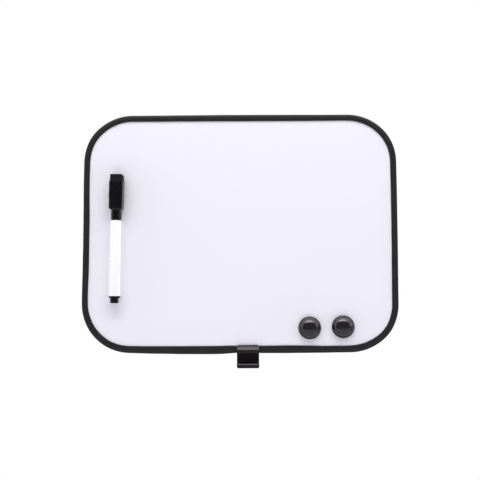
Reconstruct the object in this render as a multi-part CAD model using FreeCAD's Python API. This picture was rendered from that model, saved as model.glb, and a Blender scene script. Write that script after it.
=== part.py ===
import FreeCAD, Part
import math
import os

# Magnetic dry-erase board with an edge trim, a marker clip, two round magnets and a capped marker.
# Millimetres. X runs to the right along the board, Z runs up it and Y runs back towards the wall,
# so the writing face looks along -Y. The origin is the middle of the plane that the pads stick to.

# Board
board_width = 280.0
board_height = 212.0
corner_radius = 43.0
face_sheet_thickness = 0.4
core_thickness = 4.0
back_sheet_thickness = 0.4

# Edge trim, a channel bent round the board with its two ends meeting under the clip
trim_face_width = 5.4
trim_back_width = 4.8
trim_wall = 1.4
trim_front_lip = 1.2
trim_back_lip = 1.0
trim_dome_radius = 5.1
trim_dome_inset = 3.2
trim_rear_chamfer = 0.8
trim_joint_gap = 0.6
panel_clearance = 0.2

# Mounting pads on the back
pad_side = 25.0
pad_corner_cut = 2.0
pad_thickness = 3.2
pad_inset_x = 33.0
pad_inset_z = 31.0

# Marker clip on the lower rail
clip_offset = 6.8
clip_length = 19.75
clip_wall = 1.3
clip_rail_clearance = 0.15
clip_hook_height = 1.2
clip_hook_tip = 0.4
clip_hook_tip_wall = 0.55
clip_hook_clearance = 0.3
clip_ridge_drop = 4.0
clip_ridge_reach = 3.1
clip_ridge_round = 0.5
clip_foot_setback = 0.4
clip_bend_radius = 2.0
clip_cradle_radius = 5.15
clip_jaw_reach = 6.7
clip_jaw_front_height = 1.8
clip_jaw_corner_round = 0.4
clip_jaw_length = 2.15
clip_jaw_lean = 28.0
clip_rear_leg = 4.6
clip_corner_round = 1.2

# Round magnets, measured in from the board's right and lower edges
magnet_diameter = 20.0
magnet_height = 7.2
magnet_rim_height = 2.3
magnet_rim_chamfer = 0.35
magnet_foot_chamfer = 0.3
magnet_step = 0.7
magnet_disc_diameter = 16.0
magnet_disc_thickness = 3.0
magnet_disc_recess = 0.2
magnet_disc_clearance = 0.1
magnet_face_gap = 0.1
left_magnet_inset_x = 78.7
left_magnet_inset_z = 21.6
right_magnet_inset_x = 49.2
right_magnet_inset_z = 22.5

# Marker, measured along its own axis from the tail end up
marker_inset_x = 29.45
marker_inset_z = 44.0
marker_lean = 0.8
tail_stub_diameter = 7.1
tail_stub_length = 4.35
tail_stub_chamfer = 0.35
tail_flange_diameter = 9.3
tail_flange_thickness = 1.85
tail_flange_chamfer = 0.35
tail_plug_length = 7.0
barrel_length = 66.6
barrel_tail_diameter = 10.1
barrel_front_diameter = 9.5
barrel_bore = 7.9
barrel_edge_chamfer = 0.25
barrel_fit = 0.05
section_collar_length = 9.0
section_nose_diameter = 7.6
section_nose_length = 9.0
section_cone_length = 3.0
section_tip_diameter = 4.4
section_tip_length = 2.0
section_nib_bore = 3.0
nib_reach = 4.2
nib_point_length = 1.5
nib_point_diameter = 1.4
nib_tail = 12.0
nib_fit = 0.03
reservoir_diameter = 7.0
reservoir_end_gap = 1.0

# Marker cap with its eraser and magnet
cap_seam = 0.2
cap_skirt_diameter = 9.0
cap_skirt_length = 9.3
cap_mouth_chamfer = 0.25
cap_block_width = 11.8
cap_block_flare = 0.25
cap_block_depth = 12.0
cap_block_height = 25.3
cap_block_round = 1.2
cap_block_chamfer = 0.9
cap_nose_clearance = 0.1
cap_nose_room = 0.4
seal_bore = 5.2
seal_wall = 0.7
seal_roof = 0.8
seal_nib_room = 1.6
cap_fit = 0.05
cap_magnet_diameter = 7.4
cap_magnet_thickness = 3.0
cap_magnet_recess = 0.1
eraser_width = 11.0
eraser_depth = 10.9
eraser_height = 6.1
eraser_seat_depth = 4.5
eraser_corner_round = 1.4
eraser_top_chamfer = 0.6

# One overrun for every cut that has to leave a solid, and how close two places are to count as one
cut_overrun = 1.0
same_place = 0.001

# Places along Y, from the wall plane at zero to the front
back_sheet_rear_y = -pad_thickness
trim_rear_y = back_sheet_rear_y + trim_back_lip
core_rear_y = back_sheet_rear_y - back_sheet_thickness
face_sheet_rear_y = core_rear_y - core_thickness
face_y = face_sheet_rear_y - face_sheet_thickness
trim_front_y = face_y - trim_front_lip
trim_depth = trim_rear_y - trim_front_y

# The panel inside the trim
panel_edge_inset = trim_wall + panel_clearance
panel_width = board_width - 2 * panel_edge_inset
panel_height = board_height - 2 * panel_edge_inset
panel_radius = corner_radius - panel_edge_inset

# The clip's main places
rail_z = -board_height / 2
clip_rear_y = trim_rear_y + clip_rail_clearance
clip_tip_y = trim_front_y - clip_rail_clearance - clip_hook_tip_wall
clip_ridge_y = trim_front_y - clip_ridge_reach
clip_foot_y = clip_ridge_y + clip_foot_setback
clip_floor_z = rail_z - clip_rail_clearance
clip_roof_z = clip_floor_z - clip_wall
clip_hook_low_z = rail_z + trim_face_width + clip_rail_clearance
clip_hook_high_z = clip_hook_low_z + clip_hook_height
clip_ridge_z = clip_hook_high_z - clip_ridge_drop
cradle_y = clip_rear_y - clip_cradle_radius
cradle_z = clip_roof_z - clip_cradle_radius
cradle_outer_radius = clip_cradle_radius + clip_wall
cradle_low_z = cradle_z - cradle_outer_radius

# Stations along the marker's axis
tail_flange_s = tail_stub_length
barrel_tail_s = tail_flange_s + tail_flange_thickness
barrel_front_s = barrel_tail_s + barrel_length
nose_end_s = barrel_front_s + section_nose_length
tip_start_s = nose_end_s + section_cone_length
tip_end_s = tip_start_s + section_tip_length
nib_end_s = tip_end_s + nib_reach
cap_mouth_s = barrel_front_s + cap_seam
block_base_s = cap_mouth_s + cap_skirt_length
block_top_s = block_base_s + cap_block_height
seal_mouth_s = tip_start_s + cap_nose_room
seal_top_s = nib_end_s + seal_nib_room + seal_roof
eraser_seat_s = block_top_s - eraser_seat_depth
cap_magnet_s = (seal_top_s + eraser_seat_s) / 2


def vector(x, y, z):
    return FreeCAD.Vector(x, y, z)


def round_point(centre, radius, degrees):
    """A point of a circle in a flat outline, at an angle from the first axis towards the second."""
    turn = math.radians(degrees)
    return (centre[0] + radius * math.cos(turn), centre[1] + radius * math.sin(turn))


def outline_face(place, start, steps):
    """A flat face inside a closed outline. A step is [end] for a line, or [through, end] for an arc."""
    edges = []
    here = start
    for step in steps:
        end = step[-1]
        if len(step) == 1:
            edges.append(Part.LineSegment(place(*here), place(*end)).toShape())
        else:
            edges.append(Part.Arc(place(*here), place(*step[0]), place(*end)).toShape())
        here = end
    return Part.Face(Part.Wire(edges))


def rounded_rectangle(width, height, radius, place):
    """A face of that size about the origin of its own plane, with round corners."""
    half_a = width / 2
    half_b = height / 2
    in_a = half_a - radius
    in_b = half_b - radius
    steps = []
    corners = ((in_a, -in_b, -90), (in_a, in_b, 0), (-in_a, in_b, 90), (-in_a, -in_b, 180))
    for a, b, first in corners:
        centre = (a, b)
        steps.append([round_point(centre, radius, first)])
        steps.append([round_point(centre, radius, first + 45), round_point(centre, radius, first + 90)])
    return outline_face(place, steps[-1][-1], steps)


def turned(start, steps):
    """A solid turned about the Z axis from an outline in radius and height."""
    face = outline_face(lambda r, s: vector(r, 0, s), start, steps)
    return face.revolve(vector(0, 0, 0), vector(0, 0, 1), 360)


def cylinder(radius, low, high):
    """A solid cylinder on the Z axis between two heights."""
    return Part.makeCylinder(radius, high - low, vector(0, 0, low), vector(0, 0, 1))


def panel_layer(rear_y, thickness):
    """One sheet of the board's panel, with its rear face at rear_y."""
    face = rounded_rectangle(panel_width, panel_height, panel_radius, lambda x, z: vector(x, rear_y, z))
    return face.extrude(vector(0, -thickness, 0))


def trim_section(place):
    """The trim's cut end. Its first axis runs in from the outer face, its second from rear to front."""
    dome = (trim_dome_inset, trim_depth - trim_dome_radius)

    def dome_height(u):
        return dome[1] + math.sqrt(trim_dome_radius ** 2 - (u - trim_dome_inset) ** 2)
    lip_v = trim_depth - trim_front_lip
    return outline_face(
        place,
        (0, trim_rear_chamfer),
        [
            [(0, dome_height(0))],
            [(trim_dome_inset, trim_depth), (trim_face_width, dome_height(trim_face_width))],
            [(trim_face_width, lip_v)],
            [(trim_wall, lip_v)],
            [(trim_wall, trim_back_lip)],
            [(trim_back_width, trim_back_lip)],
            [(trim_back_width, 0)],
            [(trim_rear_chamfer, 0)],
            [(0, trim_rear_chamfer)],
        ],
    )


def trim_run(start, inward, along):
    """A straight run of trim from a point on its outer rear edge."""
    def place(u, v):
        return start + inward * u + vector(0, -v, 0)
    return trim_section(place).extrude(along)


def trim_corner(side_x, side_z):
    """A quarter turn of trim, from the left or right rail to the upper or lower rail."""
    centre = vector(
        side_x * (board_width / 2 - corner_radius), trim_rear_y, side_z * (board_height / 2 - corner_radius)
    )

    def place(u, v):
        return centre + vector(side_x * (corner_radius - u), -v, 0)
    return trim_section(place).revolve(centre, vector(0, 1, 0), -90 * side_x * side_z)


def edge_trim():
    half_w = board_width / 2
    half_h = board_height / 2
    in_w = half_w - corner_radius
    in_h = half_h - corner_radius
    joint_left = clip_offset - trim_joint_gap / 2
    joint_right = clip_offset + trim_joint_gap / 2
    up = vector(0, 0, 1)
    right = vector(1, 0, 0)
    pieces = [
        trim_run(vector(-in_w, trim_rear_y, half_h), -up, right * (2 * in_w)),
        trim_run(vector(-half_w, trim_rear_y, -in_h), right, up * (2 * in_h)),
        trim_run(vector(half_w, trim_rear_y, -in_h), -right, up * (2 * in_h)),
        trim_run(vector(-in_w, trim_rear_y, -half_h), up, right * (joint_left + in_w)),
        trim_run(vector(joint_right, trim_rear_y, -half_h), up, right * (in_w - joint_right)),
    ]
    for side_x in (-1, 1):
        for side_z in (-1, 1):
            pieces.append(trim_corner(side_x, side_z))
    return pieces[0].multiFuse(pieces[1:]).removeSplitter()


def mounting_pad(side_x, side_z):
    """A foam pad with its corners cut off, stuck to the back sheet in one quarter of the board."""
    x = side_x * (panel_width / 2 - pad_inset_x)
    z = side_z * (panel_height / 2 - pad_inset_z)
    half = pad_side / 2
    cut = half - pad_corner_cut
    corners = ((half, -cut), (half, cut), (cut, half), (-cut, half))
    corners = corners + ((-half, cut), (-half, -cut), (-cut, -half), (cut, -half))
    steps = [[corner] for corner in corners]
    face = outline_face(lambda a, b: vector(x + a, 0, z + b), corners[-1], steps)
    return face.extrude(vector(0, -pad_thickness, 0))


def clip_jaw():
    """Steps of the clip's outline from under the cradle's floor round its leaning jaw to the floor's top."""
    front_y = cradle_y - clip_jaw_reach
    corner = (front_y + clip_jaw_corner_round, cradle_low_z + clip_jaw_corner_round)
    bevel = (front_y, cradle_low_z + clip_jaw_front_height)
    along = 90 - clip_jaw_lean
    across = -clip_jaw_lean
    top_out = round_point(bevel, clip_jaw_length, along)
    top_in = round_point(top_out, clip_wall, across)
    tip = round_point(round_point(top_out, clip_wall / 2, across), clip_wall / 2, along)
    floor_high_z = cradle_low_z + clip_wall
    foot_y = top_in[0] - (top_in[1] - floor_high_z) * math.tan(math.radians(clip_jaw_lean))
    return [
        [(corner[0], cradle_low_z)],
        [round_point(corner, clip_jaw_corner_round, 225), (front_y, corner[1])],
        [bevel],
        [top_out],
        [tip, top_in],
        [(foot_y, floor_high_z)],
        [(cradle_y, floor_high_z)],
    ]


def clip_outline():
    """The clip's outline in Y and Z: a hooked channel round the lower rail over a cradle for the marker."""
    rear_out = clip_rear_y + clip_wall
    hook_in = face_y - clip_hook_clearance
    tip_in = clip_tip_y + clip_hook_tip_wall
    leg_top = rail_z + clip_rear_leg
    centre = (cradle_y, cradle_z)
    bend = (clip_foot_y + clip_bend_radius, clip_roof_z + clip_bend_radius)
    leg_tip = ((clip_rear_y + rear_out) / 2, leg_top + clip_wall / 2)
    start = (rear_out, leg_top)
    steps = [
        [(rear_out, cradle_z)],
        [round_point(centre, cradle_outer_radius, 315), (cradle_y, cradle_low_z)],
        *clip_jaw(),
        [round_point(centre, clip_cradle_radius, 315), (clip_rear_y, cradle_z)],
        [(clip_rear_y, clip_roof_z)],
        [(clip_foot_y + clip_bend_radius, clip_roof_z)],
        [round_point(bend, clip_bend_radius, 225), (clip_foot_y, clip_roof_z + clip_bend_radius)],
        [(clip_ridge_y, clip_ridge_z)],
        [(clip_tip_y, clip_hook_high_z - clip_hook_tip)],
        [(clip_tip_y + clip_hook_tip, clip_hook_high_z)],
        [(hook_in - clip_hook_tip, clip_hook_high_z)],
        [(hook_in, clip_hook_high_z - clip_hook_tip)],
        [(hook_in, clip_hook_low_z)],
        [(tip_in, clip_hook_low_z)],
        [(clip_ridge_y + clip_wall, clip_ridge_z)],
        [(clip_foot_y + clip_wall, clip_floor_z)],
        [(clip_rear_y, clip_floor_z)],
        [(clip_rear_y, leg_top)],
        [leg_tip, start],
    ]
    return start, steps


def clip_ridge_edges(body):
    """The long edge along the front of the hook, where its slope meets its upright foot."""
    edges = []
    for edge in body.Edges:
        middle = edge.CenterOfMass
        if abs(middle.y - clip_ridge_y) < same_place and abs(middle.z - clip_ridge_z) < same_place:
            edges.append(edge)
    return edges


def marker_clip():
    start, steps = clip_outline()
    left = clip_offset - clip_length / 2
    face = outline_face(lambda y, z: vector(left, y, z), start, steps)
    body = face.extrude(vector(clip_length, 0, 0))
    body = body.makeFillet(clip_ridge_round, clip_ridge_edges(body))
    box = body.BoundBox
    front = rounded_rectangle(
        clip_length,
        box.ZLength,
        clip_corner_round,
        lambda x, z: vector(clip_offset + x, box.YMin - cut_overrun, box.Center.z + z),
    )
    return body.common(front.extrude(vector(0, box.YLength + 2 * cut_overrun, 0)))


def magnet_place(x, z):
    """A place function for an outline in radius and height above the writing face."""
    return lambda r, h: vector(x + r, face_y - magnet_face_gap - h, z)


def magnet_turned(x, z, start, steps):
    face = outline_face(magnet_place(x, z), start, steps)
    return face.revolve(vector(x, 0, z), vector(0, 1, 0), 360)


def magnet_cap(x, z):
    """The plastic button: a low rim, a step and a dome over the pocket for the disc."""
    radius = magnet_diameter / 2
    dome_radius = radius - magnet_step
    dome_rise = magnet_height - magnet_rim_height
    sphere = (dome_radius ** 2 + dome_rise ** 2) / (2 * dome_rise)
    sphere_centre = (0, magnet_height - sphere)
    half_arc = math.degrees(math.asin(dome_radius / sphere)) / 2
    pocket_radius = magnet_disc_diameter / 2 + magnet_disc_clearance
    pocket_depth = magnet_disc_recess + magnet_disc_thickness
    return magnet_turned(
        x,
        z,
        (pocket_radius, 0),
        [
            [(radius - magnet_foot_chamfer, 0)],
            [(radius, magnet_foot_chamfer)],
            [(radius, magnet_rim_height - magnet_rim_chamfer)],
            [(radius - magnet_rim_chamfer, magnet_rim_height)],
            [(dome_radius, magnet_rim_height)],
            [round_point(sphere_centre, sphere, 90 - half_arc), (0, magnet_height)],
            [(0, pocket_depth)],
            [(pocket_radius, pocket_depth)],
            [(pocket_radius, 0)],
        ],
    )


def magnet_disc(x, z):
    """The magnet itself, held in the button's pocket."""
    radius = magnet_disc_diameter / 2
    top = magnet_disc_recess + magnet_disc_thickness
    low = magnet_disc_recess
    return magnet_turned(x, z, (0, low), [[(radius, low)], [(radius, top)], [(0, top)], [(0, low)]])


def tail_plug():
    """The end plug: a stub that the cap can be stored on, a flange and a plug inside the barrel."""
    stub = tail_stub_diameter / 2
    flange = tail_flange_diameter / 2
    plug = barrel_bore / 2 - barrel_fit
    plug_end = barrel_tail_s + tail_plug_length
    return turned(
        (0, 0),
        [
            [(stub - tail_stub_chamfer, 0)],
            [(stub, tail_stub_chamfer)],
            [(stub, tail_flange_s)],
            [(flange - tail_flange_chamfer, tail_flange_s)],
            [(flange, tail_flange_s + tail_flange_chamfer)],
            [(flange, barrel_tail_s)],
            [(plug, barrel_tail_s)],
            [(plug, plug_end)],
            [(0, plug_end)],
            [(0, 0)],
        ],
    )


def barrel():
    """The white tube, tapered from the tail to the cap."""
    tail = barrel_tail_diameter / 2
    front = barrel_front_diameter / 2
    bore = barrel_bore / 2
    edge = barrel_edge_chamfer
    tube = turned(
        (bore, barrel_tail_s),
        [
            [(tail - edge, barrel_tail_s)],
            [(tail, barrel_tail_s + edge)],
            [(front, barrel_front_s - edge)],
            [(front - edge, barrel_front_s)],
            [(bore, barrel_front_s)],
            [(bore, barrel_tail_s)],
        ],
    )
    return tube.toNurbs()


def nib_section():
    """The nib holder: a collar in the barrel, the nose that the cap covers and the nib's bore."""
    collar = barrel_bore / 2 - barrel_fit
    nose = section_nose_diameter / 2
    tip = section_tip_diameter / 2
    bore = section_nib_bore / 2
    collar_s = barrel_front_s - section_collar_length
    return turned(
        (bore, collar_s),
        [
            [(collar, collar_s)],
            [(collar, barrel_front_s)],
            [(nose, barrel_front_s)],
            [(nose, nose_end_s)],
            [(tip, tip_start_s)],
            [(tip, tip_end_s)],
            [(bore, tip_end_s)],
            [(bore, collar_s)],
        ],
    )


def nib():
    """The bullet nib, from inside the reservoir to its blunt tapered writing end."""
    radius = section_nib_bore / 2 - nib_fit
    base_s = barrel_front_s - nib_tail
    return turned(
        (0, base_s),
        [
            [(radius, base_s)],
            [(radius, nib_end_s - nib_point_length)],
            [(nib_point_diameter / 2, nib_end_s)],
            [(0, nib_end_s)],
            [(0, base_s)],
        ],
    )


def ink_reservoir():
    """The fibre filler between the tail plug and the nib holder, with the nib's tail pressed into it."""
    low = barrel_tail_s + tail_plug_length + reservoir_end_gap
    high = barrel_front_s - section_collar_length
    filler = cylinder(reservoir_diameter / 2, low, high)
    nib_base_s = barrel_front_s - nib_tail
    socket = cylinder(section_nib_bore / 2, nib_base_s, high + cut_overrun)
    return filler.cut(socket)


def cap_block():
    """The square upper part of the cap: a chamfered foot, and sides that flare towards its top."""
    def level(s, in_x, in_y):
        return rounded_rectangle(
            cap_block_width - 2 * in_x,
            cap_block_depth - 2 * in_y,
            cap_block_round,
            lambda x, y: vector(x, y, s),
        ).OuterWire
    foot = level(block_base_s, cap_block_chamfer, cap_block_chamfer)
    shoulder = level(block_base_s + cap_block_chamfer, 0, 0)
    top = level(block_top_s, -cap_block_flare, 0)
    return Part.makeLoft([foot, shoulder, top], True, True)


def cap_skirt():
    """The round lower part of the cap, before its socket is cut."""
    radius = cap_skirt_diameter / 2
    top_s = block_base_s + cap_block_chamfer
    return turned(
        (0, cap_mouth_s),
        [
            [(radius - cap_mouth_chamfer, cap_mouth_s)],
            [(radius, cap_mouth_s + cap_mouth_chamfer)],
            [(radius, top_s)],
            [(0, top_s)],
            [(0, cap_mouth_s)],
        ],
    )


def cap_shell():
    socket_radius = section_nose_diameter / 2 + cap_nose_clearance
    seal_radius = seal_bore / 2 + seal_wall + cap_fit
    magnet_radius = cap_magnet_diameter / 2 + cap_fit
    back_y = cap_block_depth / 2
    pocket_depth = cap_magnet_thickness + cap_magnet_recess
    pocket_mouth = vector(0, back_y + cut_overrun, cap_magnet_s)
    magnet_pocket = Part.makeCylinder(
        magnet_radius, pocket_depth + cut_overrun, pocket_mouth, vector(0, -1, 0)
    )
    eraser_pocket = rounded_rectangle(
        eraser_width + 2 * cap_fit,
        eraser_depth + 2 * cap_fit,
        eraser_corner_round + cap_fit,
        lambda x, y: vector(x, y, eraser_seat_s),
    ).extrude(vector(0, 0, eraser_seat_depth + cut_overrun))
    body = cap_block().fuse(cap_skirt()).removeSplitter()
    body = body.cut(cylinder(socket_radius, cap_mouth_s - cut_overrun, seal_mouth_s))
    body = body.cut(cylinder(seal_radius, seal_mouth_s - cut_overrun, seal_top_s))
    return body.cut(magnet_pocket).cut(eraser_pocket)


def cap_inner_seal():
    """The soft thimble in the cap that keeps air from the nib."""
    inner = seal_bore / 2
    outer = inner + seal_wall
    roof_s = seal_top_s - seal_roof
    return turned(
        (inner, seal_mouth_s),
        [
            [(outer, seal_mouth_s)],
            [(outer, seal_top_s)],
            [(0, seal_top_s)],
            [(0, roof_s)],
            [(inner, roof_s)],
            [(inner, seal_mouth_s)],
        ],
    )


def cap_magnet():
    """The disc magnet let into the cap's rear face."""
    rear_y = cap_block_depth / 2 - cap_magnet_recess
    return Part.makeCylinder(
        cap_magnet_diameter / 2, cap_magnet_thickness, vector(0, rear_y, cap_magnet_s), vector(0, -1, 0)
    )


def eraser_pad():
    """The felt block in the top of the cap, with its upper edges eased."""
    base = rounded_rectangle(
        eraser_width, eraser_depth, eraser_corner_round, lambda x, y: vector(x, y, eraser_seat_s)
    )
    top_s = block_top_s + eraser_height
    body = base.extrude(vector(0, 0, top_s - eraser_seat_s))
    top_edges = [edge for edge in body.Edges if min(v.Z for v in edge.Vertexes) > block_top_s]
    return body.makeChamfer(eraser_top_chamfer, top_edges)


def on_the_board(shape):
    """Moves a piece of the marker from its own axis to its place on the writing face."""
    shape.rotate(vector(0, 0, 0), vector(0, 1, 0), marker_lean)
    shape.translate(
        vector(
            marker_inset_x - board_width / 2,
            face_y - magnet_face_gap - cap_block_depth / 2,
            marker_inset_z - board_height / 2,
        )
    )
    return shape


def all_pieces():
    left_x = board_width / 2 - left_magnet_inset_x
    left_z = left_magnet_inset_z - board_height / 2
    right_x = board_width / 2 - right_magnet_inset_x
    right_z = right_magnet_inset_z - board_height / 2
    pieces = {
        "face_sheet": panel_layer(face_sheet_rear_y, face_sheet_thickness),
        "panel_core": panel_layer(core_rear_y, core_thickness),
        "back_sheet": panel_layer(back_sheet_rear_y, back_sheet_thickness),
        "edge_trim": edge_trim(),
        "marker_clip": marker_clip(),
        "left_magnet_cap": magnet_cap(left_x, left_z),
        "left_magnet_disc": magnet_disc(left_x, left_z),
        "right_magnet_cap": magnet_cap(right_x, right_z),
        "right_magnet_disc": magnet_disc(right_x, right_z),
    }
    for name_x, side_x in (("left", -1), ("right", 1)):
        for name_z, side_z in (("lower", -1), ("upper", 1)):
            pieces[f"mounting_pad_{name_z}_{name_x}"] = mounting_pad(side_x, side_z)
    marker_pieces = {
        "marker_tail_plug": tail_plug(),
        "marker_barrel": barrel(),
        "marker_nib_section": nib_section(),
        "marker_nib": nib(),
        "marker_ink_reservoir": ink_reservoir(),
        "cap_shell": cap_shell(),
        "cap_inner_seal": cap_inner_seal(),
        "cap_magnet": cap_magnet(),
        "cap_eraser_pad": eraser_pad(),
    }
    for name, shape in marker_pieces.items():
        pieces[name] = on_the_board(shape)
    return pieces


def main():
    os.makedirs("parts", exist_ok=True)
    for name, shape in all_pieces().items():
        shape.exportStep(f"parts/{name}.step")
        print(name, "valid" if shape.isValid() else "NOT VALID", len(shape.Solids), round(shape.Volume, 2))


main()
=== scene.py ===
import math
import random

import bmesh
import bpy
from mathutils import Matrix, Vector


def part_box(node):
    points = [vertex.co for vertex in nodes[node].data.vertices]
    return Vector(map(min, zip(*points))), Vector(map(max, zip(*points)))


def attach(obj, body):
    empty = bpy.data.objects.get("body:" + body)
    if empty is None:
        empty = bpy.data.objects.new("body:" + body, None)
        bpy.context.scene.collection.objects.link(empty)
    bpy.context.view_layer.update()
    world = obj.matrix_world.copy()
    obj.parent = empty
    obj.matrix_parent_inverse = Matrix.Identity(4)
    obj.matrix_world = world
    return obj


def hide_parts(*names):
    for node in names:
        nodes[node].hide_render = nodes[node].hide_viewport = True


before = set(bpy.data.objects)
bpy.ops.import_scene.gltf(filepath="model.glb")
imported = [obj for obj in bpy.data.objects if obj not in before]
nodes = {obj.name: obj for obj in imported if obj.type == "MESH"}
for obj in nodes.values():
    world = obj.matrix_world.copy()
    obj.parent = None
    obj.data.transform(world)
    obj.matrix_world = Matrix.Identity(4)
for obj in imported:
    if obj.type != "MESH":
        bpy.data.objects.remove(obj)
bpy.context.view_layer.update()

# The board with its clip, magnets and marker, dressed for a studio picture.
# Metres. The board's writing face looks along -Y, and Z runs up it.

mm = 0.001

# Board and trim
board_width = 280 * mm
board_height = 212 * mm
corner_radius = 43 * mm
face_y = -8 * mm
trim_rear_y = -2.2 * mm
trim_depth = 7 * mm
trim_face_width = 5.4 * mm
trim_back_width = 4.8 * mm
trim_wall = 1.4 * mm
trim_front_lip = 1.2 * mm
trim_back_lip = 1.0 * mm
trim_dome_radius = 7 * mm
trim_dome_inset = 2.9 * mm
trim_edge_round = 0.15 * mm
trim_rear_round = 0.8 * mm
trim_joint_gap = 0.6 * mm
trim_step = 6 * mm
trim_corner_steps = 28
# How far from its joint the clip holds the trim on its line, and how soon after that it wanders
trim_held_length = 9.62 * mm
trim_settle_length = 0.5 * mm

# Where the pushed-on trim wanders off its line: how far round from the joint, and how far outwards
# its outer and its inner edge stand there, in millimetres
trim_wander = (
    (0, 0, 0), (9.62, 0.08, 0), (10.12, 0.42, -0.64), (14.4, 0.52, -0.66), (17, 0.51, -0.61),
    (34, 0.52, -0.9), (50, 0.38, -0.65), (66, 0.27, -0.39), (82, -0.01, -0.46), (98, -0.11, -0.83),
    (107, -0.06, -0.72), (132, 0.49, 0.23), (150, 0.2, -0.07), (158, 0.09, -0.11), (221, 0.31, 0.25),
    (257, 0.25, 0.21), (284, 0.05, -0.02), (305, 0.3, 0.14), (334, 0.09, 0.06), (359, 0.22, 0.25),
    (375, 0.22, 0.13), (400, 0.35, 0.09), (460, 0.46, 0.1), (497, 0.31, 0.13), (521, 0.16, 0),
    (545, 0.08, -0.02), (562, -0.14, -0.18), (571, -0.11, -0.21), (587, 0.19, 0.08), (609, -0.23, -0.25),
    (632, 0.01, 0.14), (662, -0.06, -0.16), (685, -0.01, 0), (703, 0.2, 0.06), (734, 0.62, 0.76),
    (755, 0.5, 0.24), (781, 0.37, -0.13), (802, 0.18, -0.55), (831, 0.91, -0.34), (855, 1.28, -0.38),
    (879, 1.34, -0.42), (887, 1.15, -0.52), (892, 0.85, -0.76), (895.5, 0.5, -0.7),
    (899.4, 0.24, -0.67), (899.92, 0.08, 0), (910, 0, 0),
)

# Clip
clip_offset = 6.8 * mm
clip_length = 19.75 * mm
clip_wall = 1.3 * mm
clip_fit = 0.15 * mm
clip_rear_y = trim_rear_y + clip_fit
rail_z = -board_height / 2
clip_tip_y = -9.9 * mm
clip_tip_wall = 0.55 * mm
clip_tip_round = 0.25 * mm
clip_ridge_y = -12.6 * mm
clip_ridge_z = -103.75 * mm
clip_ridge_round = 0.9 * mm
clip_foot_y = -12.2 * mm
clip_bend_radius = 3.0 * mm
clip_bend_inner = 1.2 * mm
clip_floor_z = rail_z - clip_fit
clip_roof_z = clip_floor_z - clip_wall
clip_hook_low = -100.45 * mm
clip_hook_high = -99.25 * mm
clip_hook_in_y = -8.3 * mm
clip_leg_top = -101.4 * mm
clip_inner_round = 0.3 * mm
clip_floor_swell = 0.1 * mm
cradle_radius = 5.15 * mm
cradle_y = clip_rear_y - cradle_radius
cradle_z = clip_roof_z - cradle_radius
cradle_low = cradle_z - cradle_radius - clip_wall - clip_floor_swell
jaw_front_y = cradle_y - 6.7 * mm
jaw_bevel_z = cradle_low + 1.98 * mm
jaw_corner_round = 0.2 * mm
jaw_bevel_round = 0.3 * mm
jaw_length = 1.95 * mm
jaw_lean = math.radians(28.8)
clip_end_round = 0.08 * mm
clip_end_steps = 4
clip_corner_round = 1.2 * mm

# Magnets
magnet_radius = 10 * mm
magnet_height = 7.2 * mm
magnet_rim_height = 2.3 * mm
magnet_rim_round = 0.5 * mm
magnet_foot_round = 0.3 * mm
magnet_step = 0.7 * mm
magnet_pocket_radius = 8.1 * mm
magnet_pocket_depth = 3.2 * mm
magnet_foot_y = face_y - 0.1 * mm
magnet_dome_steps = 14

# Marker, measured along its own axis from the tail end up
marker_place = Vector((-110.67 * mm, -14.1 * mm, -62 * mm))
marker_lean = math.radians(0.8)
stub_radius = 3.7 * mm
stub_length = 4.35 * mm
stub_round = 0.35 * mm
flange_radius = 4.93 * mm
flange_thickness = 1.85 * mm
flange_round = 0.35 * mm
plug_radius = 3.85 * mm
plug_length = 7 * mm
barrel_tail_radius = 5.2 * mm
barrel_front_radius = 4.88 * mm
barrel_bore_radius = 3.95 * mm
barrel_round = 0.25 * mm
barrel_low = stub_length + flange_thickness
barrel_high = barrel_low + 66.6 * mm
cap_mouth = barrel_high + 0.2 * mm
skirt_radius = 4.7 * mm
skirt_bore_radius = 4.05 * mm
skirt_round = 0.25 * mm
block_base = cap_mouth + 9.3 * mm
block_top = block_base + 25.3 * mm
block_width = 11.8 * mm
block_flare = 0.25 * mm
block_depth = 12 * mm
block_round = 1.2 * mm
block_chamfer = 0.9 * mm
block_edge_round = 0.25 * mm
block_edge_steps = 3
block_side_shares = (0.08, 0.5, 0.92)
seal_mouth = barrel_high + 12.4 * mm
seal_top = seal_mouth + 8.2 * mm
seal_pocket_radius = 3.35 * mm
eraser_width = 11 * mm
eraser_depth = 10.9 * mm
eraser_round = 1.4 * mm
eraser_rise = 6.1 * mm
eraser_seat = 4.5 * mm
eraser_gap = 0.05 * mm
eraser_top_round = 0.65 * mm
eraser_side_steps = 14
eraser_top_steps = 6
eraser_top_shares = (0.75, 0.5, 0.25, 0.05)
eraser_fuzz = 0.06 * mm
eraser_seed = 7

# Mounting pads
pad_corner_round = 2.4 * mm
pad_pinch = 0.35 * mm
pad_side_steps = 8

# How finely curves are divided, and from which angle on an edge is shaded sharp
turn_steps = 72
arc_step = math.radians(12)
ring_corner_steps = 8
ring_side_steps = 4
sharp_angle = math.radians(32)
# A ring that closes a surface on its axis keeps this radius
axis_radius = 0.02 * mm

# Camera, set where the photograph was taken from. Lens and sensor are in millimetres.
camera_place = Vector((5.49 * mm, -651.6 * mm, -47.07 * mm))
camera_pitch = math.radians(3.613)
camera_yaw = math.radians(0.489)
camera_roll = math.radians(0.161)
camera_lens = 54.26
camera_sensor = 36
camera_near = 0.01

# The part of a noise's range that roughness follows
noise_low = 0.3
noise_high = 0.7

# Black plastic: how a rub pales its colour, and the factors between which its roughness varies
rub_gain = 1.25
rub_lift = 0.001
smoother = 0.85
rougher = 1.2

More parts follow.
